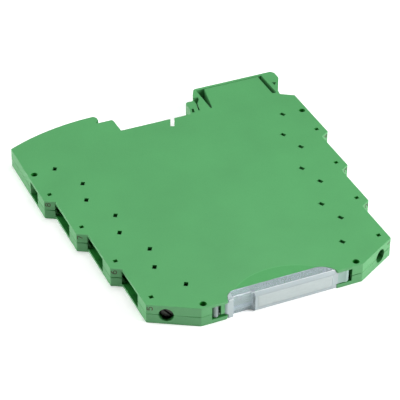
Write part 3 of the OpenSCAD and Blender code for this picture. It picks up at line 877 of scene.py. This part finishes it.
class BuildScrews(bpy.types.Operator):
    """Cut the thread and driver slot of the eight clamp screws"""
    bl_idname = "rail_module.screws"
    bl_label = "Clamp screws"
    shank_radius = 1.5
    head_radius = 1.85
    slot_depth = 0.6
    chamfer = 0.16
    tip_gap = 0.14
    neck_gap = 0.15
    # Angles of the slots, in degrees: each screw was left at its own
    first_angle = 160
    angle_step = 32

    def execute(self, context):
        settings = context.scene.rail_module_clamps
        # The darkened screw colour paints the shade of the bores
        steel = plated_metal("zinc-plated steel", settings.screw_colour, 0.34)
        shank, shank_faces = tube_part(threaded_shank(
            self.shank_radius, settings.thread_depth, settings.pitch, TIP_HEIGHT + self.tip_gap,
            HEAD_HEIGHT - self.neck_gap))
        head, head_faces = slotted_head(self.head_radius, HEAD_THICKNESS, settings.slot_width,
                                        self.slot_depth, self.chamfer, HEAD_HEIGHT)
        for number in TERMINALS:
            angle = math.radians(self.first_angle + self.angle_step * number)
            sine, cosine = math.sin(angle), math.cos(angle)
            turned = head @ np.array([[sine, cosine, 0], [cosine, -sine, 0], [0, 0, 1]])
            parts = [(in_clamp(shank, number), shank_faces), (in_clamp(turned, number), head_faces)]
            add_piece(f"slotted_screw_{number}", joined_mesh(parts, scale=1), steel,
                      f"clamp_screw_{number}")
        return {"FINISHED"}


class BuildClamps(bpy.types.Operator):
    """Round the stamped cages and finish the contact bars"""
    bl_idname = "rail_module.clamps"
    bl_label = "Clamp cages"

    def execute(self, context):
        settings = context.scene.rail_module_clamps
        nickel = plated_metal("nickel-plated steel", settings.cage_colour, 0.3, (0.2, 1, 1), 0.3)
        tin = plated_metal("tinned copper", settings.bar_colour, 0.42, (0.3, 0.3, 1), 0.4)
        for number in TERMINALS:
            rounded_copy(f"stamped_cage_{number}", f"clamp_cage_{number}", nickel,
                         settings.rounding, long_edge_weights)
            dress_node(f"contact_bar_{number}", tin)
        return {"FINISHED"}


class BuildBoard(bpy.types.Operator):
    """Finish the circuit board and shape its gold contacts"""
    bl_idname = "rail_module.board"
    bl_label = "Circuit board"
    first_contact = -9.4
    contact_pitch = 2.4
    contact_width = 1.4
    corner_radius = 0.45
    contacts = 5

    def execute(self, context):
        settings = context.scene.rail_module_board
        dress_node("circuit_board", board_laminate(settings.board_colour))
        gold = plated_metal("gold-flashed contact", (0.83, 0.58, 0.22), 0.24, (1, 0.1, 1), 0.2)
        low, high = (np.array(corner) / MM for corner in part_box("bus_contacts"))
        length, thickness = (high - low)[1:]
        rings = [(0, 0), (0, 0.05), (0.03, 0.08), (0.08, thickness)]
        plate = rounded_plate(self.contact_width / 2, length / 2, self.corner_radius, rings)
        first = self.first_contact + self.contact_width / 2
        parts = [tube_part(plate + [first + i * self.contact_pitch, low[1] + length / 2, low[2]])
                 for i in range(self.contacts)]
        add_piece("gold_bus_contacts", joined_mesh(parts), gold, "bus_contacts")
        return {"FINISHED"}


class BuildMagnetics(bpy.types.Operator):
    """Wind the transformer and shape the inductor"""
    bl_idname = "rail_module.magnetics"
    bl_label = "Transformer and inductor"
    core_gap = 2.35
    half_straight = 5.2
    winding_low = 2.65
    winding_height = 1.7
    winding_middle = 45
    turn_gap = 0.02
    turn_pitch = 1.06
    core_rounding = 0.18
    inductor_middle = (14, 62)
    # Radius and height along the inductor's flanges. The coil between them adds the absolute sine of its
    # height over the pitch, times the wave, to its radius.
    lower_flange = [(0, 0.45), (2.7, 0.45), (2.8, 0.52), (2.8, 0.85), (2.7, 0.92)]
    upper_flange = [(2.7, 2.15), (2.8, 2.22), (2.8, 2.68), (2.7, 2.78), (2.2, 2.8), (0, 2.8)]
    coil_ends = (0.95, 2.1)
    coil_radius = 2.45
    coil_wave = 0.12
    coil_pitch = 0.23

    def execute(self, context):
        settings = context.scene.rail_module_board
        ferrite = sintered("pressed ferrite", (0.035, 0.035, 0.038), 0.6, 0.35)
        rounded_copy("ferrite_core", "transformer_core", ferrite, self.core_rounding, long_edge_weights)
        step = self.winding_height / settings.layers
        parts = []
        for layer in range(settings.layers):
            height = self.winding_low + (layer + 0.5) * step
            path, normal = stadium_spiral(
                self.core_gap + settings.wire / 2 + self.turn_gap, settings.wire * self.turn_pitch,
                settings.turns, self.half_straight, height)
            wire = wire_round(path, normal, settings.wire / 2)
            parts.append(tube_part(wire + [0, self.winding_middle - HALF_DEPTH, 0]))
        add_piece("transformer_coil", joined_mesh(parts, angle=60), enamelled_wire(settings.copper_colour),
                  "transformer_winding")
        base = rounded_plate(3, 3, 0.5, [(0.06, 0), (0, 0.06), (0, 0.42), (0.08, 0.5)])
        height = np.linspace(*self.coil_ends, 40)
        wave = np.abs(np.sin(np.pi * (height - height[0]) / self.coil_pitch))
        coil = np.column_stack([self.coil_radius + self.coil_wave * wave, height])
        drum = revolved(*np.concatenate([self.lower_flange, coil, self.upper_flange]).T, 48)
        x, y = self.inductor_middle
        place = [x, y - HALF_DEPTH, BOARD_TOP]
        parts = [tube_part(base + place), tube_part(drum + place, capped=False)]
        add_piece("drum_inductor", joined_mesh(parts), ferrite, "power_inductor")
        return {"FINISHED"}


class BuildComponents(bpy.types.Operator):
    """Finish the packages and chip parts on the board"""
    bl_idname = "rail_module.components"
    bl_label = "Board components"
    # Middle between the two rows, half their distance, and half the bare length between a chip's caps
    ceramic_rows = (1.75, 19.5, 0.52)
    resistor_rows = (-17.25, 21.5, 0.55)

    def execute(self, context):
        settings = context.scene.rail_module_board
        epoxy = sintered("moulded epoxy package", (0.022, 0.022, 0.025), 0.55, 0.3, 0.1)
        tantalum = sintered("moulded capacitor resin", (0.62, 0.33, 0.05), 0.45, 0.12, 0.18)
        packages = {"amplifier_ics": epoxy, "optocouplers": epoxy, "switching_transistors": epoxy,
                    "tantalum_capacitors": tantalum}
        for node, finish in packages.items():
            rounded_copy(node + "_moulded", node, finish, settings.rounding, long_edge_weights)
        ceramic = banded_chip("fired ceramic chip", (0.42, 0.29, 0.16), *self.ceramic_rows)
        resistor = banded_chip("glazed resistor chip", (0.02, 0.02, 0.025), *self.resistor_rows)
        dress_node("ceramic_capacitors", ceramic)
        dress_node("chip_resistors", resistor)
        return {"FINISHED"}


class BuildStatusLight(bpy.types.Operator):
    """Shape the status light and its light guide"""
    bl_idname = "rail_module.status_light"
    bl_label = "Status light"
    place_x = -11.6
    guide_radius = 0.6
    guide_length = 2.5
    guide_height = 1.25
    dome_share = 0.6
    # Radius and height along the guide's collar
    collar = [(0, 0), (0.5, 0), (0.6, 0.1), (0.6, 0.55), (0.52, 0.6), (0.52, 0.75)]

    def execute(self, context):
        low, high = (np.array(corner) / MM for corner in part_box("status_led"))
        angle = np.linspace(0, np.pi / 2, 8)
        dome_height = self.guide_length - self.guide_radius * self.dome_share * (1 - np.sin(angle))
        dome = np.column_stack([self.guide_radius * np.cos(angle), dome_height])
        guide = revolved(*np.concatenate([self.collar, dome]).T, 28)
        points = guide[..., [0, 2, 1]] * [1, -1, 1] + [
            self.place_x, low[1] + self.guide_length, BOARD_TOP + self.guide_height]
        base = rounded_plate(0.9, 0.8, 0.15, [(0.05, 0), (0, 0.05), (0, 0.42), (0.08, 0.5)])
        lens = rounded_plate(0.6, 0.6, 0.12, [(0.02, 0.45), (0, 0.5), (0, 1.45), (0.1, 1.6)])
        parts = [tube_part(points, capped=False),
                 tube_part(base + [self.place_x, high[1] - 0.8, BOARD_TOP]),
                 tube_part(lens + [self.place_x, high[1] - 0.9, BOARD_TOP])]
        add_piece("status_light_guide", joined_mesh(parts), tinted_lens((0.55, 0.85, 0.6)), "status_led")
        return {"FINISHED"}


def add_softbox(name, place, size, power):
    """A square area light that looks at the part."""
    light = bpy.data.lights.new(name, "AREA")
    light.energy = power
    light.size = size
    box = new_object(name, light)
    box.location = place
    box.rotation_euler = (-Vector(place)).to_track_quat("-Z", "Y").to_euler()


class BuildStage(bpy.types.Operator):
    """Lay the floor, set the soft light and place the camera"""
    bl_idname = "rail_module.stage"
    bl_label = "Stage"
    camera_place = (-0.17192469, -0.37642540, 0.29843388)
    camera_turn = (0.94811689, -0.00673779, -0.41878825)
    camera_lens = 154.4665
    # Half the floor's side in metres, its lines of points, and its gap under the housing in millimetres
    floor_reach = 3
    floor_lines = 13
    floor_gap = 0.02

    def execute(self, context):
        settings = context.scene.rail_module_stage
        extent = np.linspace(-self.floor_reach, self.floor_reach, self.floor_lines)
        x, y = np.meshgrid(extent, extent)
        points = np.stack([x, y, np.full_like(x, -self.floor_gap * MM)], axis=-1).reshape(-1, 3)
        mesh = bpy.data.meshes.new("floor")
        quads = grid_faces(self.floor_lines, self.floor_lines, wrap_columns=False)
        mesh.from_pydata(points.tolist(), [], quads.tolist())
        paper = Finish("paper backdrop", settings.floor_colour, 0.8, Emission_Strength=settings.glow)
        paper.mottled(paper.noise(60, 2), settings.floor_colour, 0.995, 1)
        mesh.materials.append(paper.material)
        floor = new_object("floor", mesh)
        world = bpy.data.worlds.new("studio")
        world.use_nodes = True
        background = world.node_tree.nodes["Background"]
        background.inputs["Color"].default_value = (1, 1, 1, 1)
        background.inputs["Strength"].default_value = settings.sky
        context.scene.world = world
        add_softbox("right softbox", (0.55, -0.35, 0.35), 0.5, settings.key)
        add_softbox("left softbox", (-0.7, 0.25, 0.3), 0.5, settings.fill)
        add_softbox("top softbox", (0, 0.1, 0.8), 0.6, settings.top)
        camera = bpy.data.cameras.new("photo view")
        camera.lens = self.camera_lens
        camera.sensor_width = 36
        camera.clip_end = 10
        holder = new_object("photo view", camera)
        holder.location = self.camera_place
        holder.rotation_euler = self.camera_turn
        context.scene.camera = holder
        context.scene.view_settings.view_transform = "Standard"
        return {"FINISHED"}


SETTINGS = {
    "rail_module_housing": HousingSettings,
    "rail_module_cover": CoverSettings,
    "rail_module_numerals": NumeralSettings,
    "rail_module_clamps": ClampSettings,
    "rail_module_board": BoardSettings,
    "rail_module_stage": StageSettings,
}
OPERATORS = (BuildHousing, BuildCover, BuildNumerals, BuildScrews, BuildClamps, BuildBoard, BuildMagnetics,
             BuildComponents, BuildStatusLight, BuildStage)


class RailModulePanel(bpy.types.Panel):
    """Sidebar panel with every step of the module's looks."""
    bl_idname = "VIEW3D_PT_rail_module"
    bl_label = "Rail module"
    bl_space_type = "VIEW_3D"
    bl_region_type = "UI"
    bl_category = "Rail module"

    def draw(self, context):
        for name, group in SETTINGS.items():
            box = self.layout.box()
            box.label(text=group.__doc__)
            for key in group.__annotations__:
                box.prop(getattr(context.scene, name), key)
        for operator in OPERATORS:
            self.layout.operator(operator.bl_idname)


CLASSES = (*SETTINGS.values(), *OPERATORS, RailModulePanel)


def register():
    """Registers the settings, the operators and the panel."""
    for kind in CLASSES:
        bpy.utils.register_class(kind)
    for name, group in SETTINGS.items():
        setattr(bpy.types.Scene, name, PointerProperty(type=group))


def unregister():
    """Takes everything out again."""
    for name in SETTINGS:
        delattr(bpy.types.Scene, name)
    for kind in reversed(CLASSES):
        bpy.utils.unregister_class(kind)


def main():
    register()
    bpy.ops.rail_module.housing()
    bpy.ops.rail_module.cover()
    bpy.ops.rail_module.numerals()
    bpy.ops.rail_module.screws()
    bpy.ops.rail_module.clamps()
    bpy.ops.rail_module.board()
    bpy.ops.rail_module.magnetics()
    bpy.ops.rail_module.components()
    bpy.ops.rail_module.status_light()
    bpy.ops.rail_module.stage()


if __name__ == "__main__":
    main()
